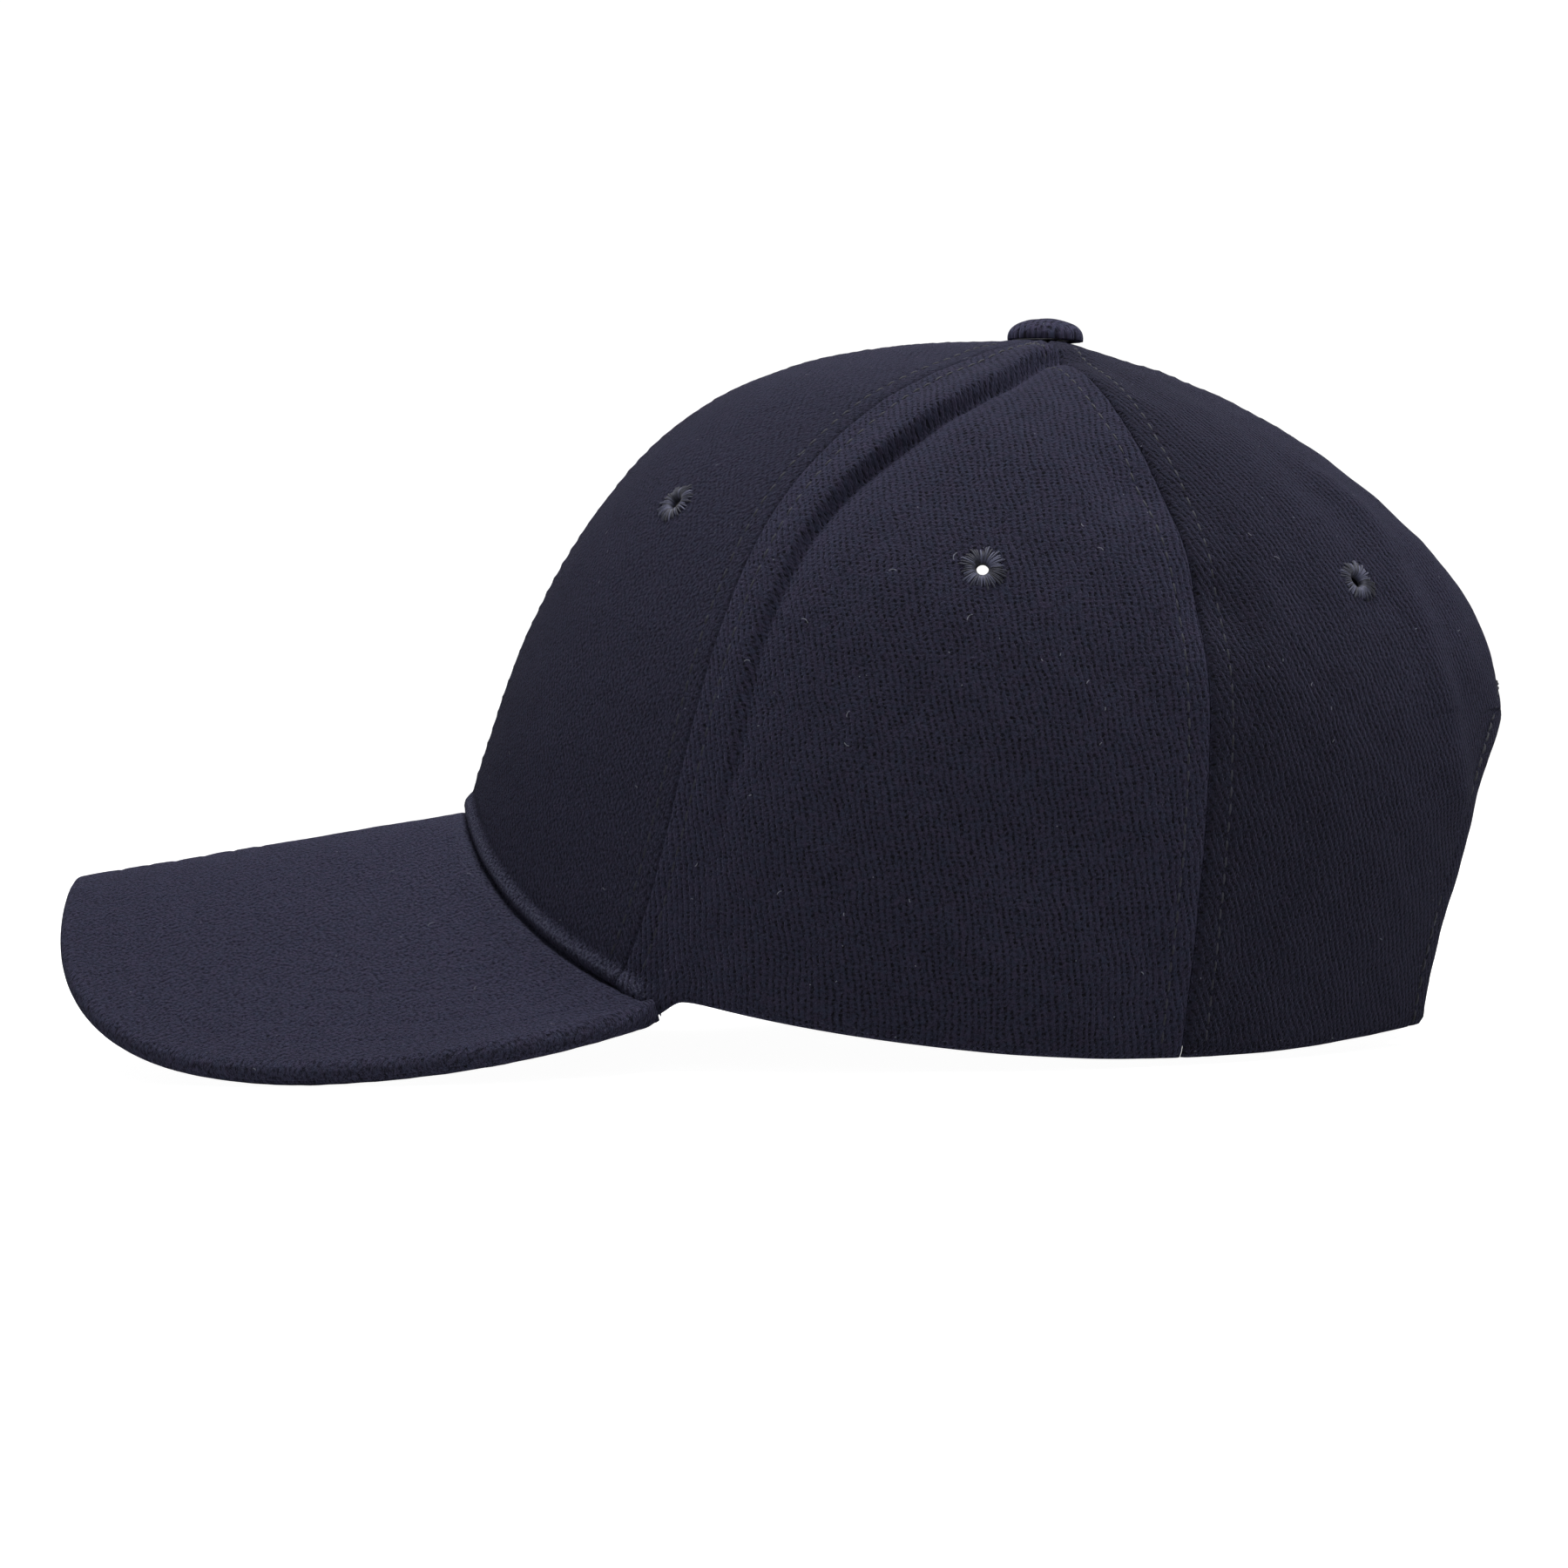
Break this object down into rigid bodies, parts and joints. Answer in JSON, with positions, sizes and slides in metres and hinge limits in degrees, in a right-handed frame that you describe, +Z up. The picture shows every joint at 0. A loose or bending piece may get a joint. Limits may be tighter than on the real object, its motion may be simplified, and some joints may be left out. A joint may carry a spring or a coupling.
{
  "type": "baseball cap",
  "caption": "Soft baseball cap with sewn crown panels, a curved stiffened brim, a covered button and an arched back opening closed by a strap in a clamp buckle.",
  "frame": {"origin": "middle of the cap's plan at the height of the surface that it stands on", "axes": "-X forwards along the brim, -Y to the wearer's left, +Z up"},
  "size_m": [0.2856, 0.167, 0.143],
  "materials": {
    "crown_twill": "heavy brushed cotton twill, very dark navy, matte with lint",
    "brim_twill": "heavy brushed cotton twill, dark navy, matte",
    "buckram": "stiff open cotton canvas, fused",
    "seam_tape": "folded cotton tape, matte",
    "sweatband_twill": "soft cotton twill, matte",
    "brim_board": "stiff polyethylene board, matte",
    "eyelet_thread": "embroidery thread, slight sheen",
    "button_metal": "plain stamped sheet",
    "buckle_metal": "antique brass, brushed, satin"
  },
  "bodies": {
    "cap": {"front_panel_left": "crown_twill", "front_panel_right": "crown_twill", "side_panel_left": "crown_twill", "side_panel_right": "crown_twill", "back_panel_left": "crown_twill", "back_panel_right": "crown_twill", "buckram_left": "buckram", "buckram_right": "buckram", "seam_tape_front": "seam_tape", "seam_tape_front_side_left": "seam_tape", "seam_tape_front_side_right": "seam_tape", "seam_tape_side_back_left": "seam_tape", "seam_tape_side_back_right": "seam_tape", "seam_tape_back": "seam_tape", "arch_facing": "seam_tape", "sweatband": "sweatband_twill", "brim_board": "brim_board", "brim_top_cover": "brim_twill", "brim_under_cover": "brim_twill", "button_cover": "brim_twill", "button_shell": "button_metal", "button_prong": "button_metal", "button_washer": "button_metal", "eyelet_front_left": "eyelet_thread", "eyelet_front_right": "eyelet_thread", "eyelet_side_left": "eyelet_thread", "eyelet_side_right": "eyelet_thread", "eyelet_back_left": "eyelet_thread", "eyelet_back_right": "eyelet_thread", "strap_tab": "crown_twill", "tab_bar": "buckle_metal", "buckle_frame": "buckle_metal", "hinge_pin": "buckle_metal"},
    "strap": {"strap": "crown_twill"},
    "lever": {"buckle_lever": "buckle_metal"}
  },
  "joints": [
    {"name": "strap_travel", "type": "hinge", "parent": "cap", "child": "strap", "pos_m": [0.05451, 0, 0.0186], "axis": [0, 0, 1], "range_deg": [-8, 8]},
    {"name": "lever_turn", "type": "hinge", "parent": "cap", "child": "lever", "pos_m": [0.12737, 0.02269, 0.01806], "axis": [0.147, 0.0535, 0.9877], "range_deg": [-105, 0]}
  ]
}
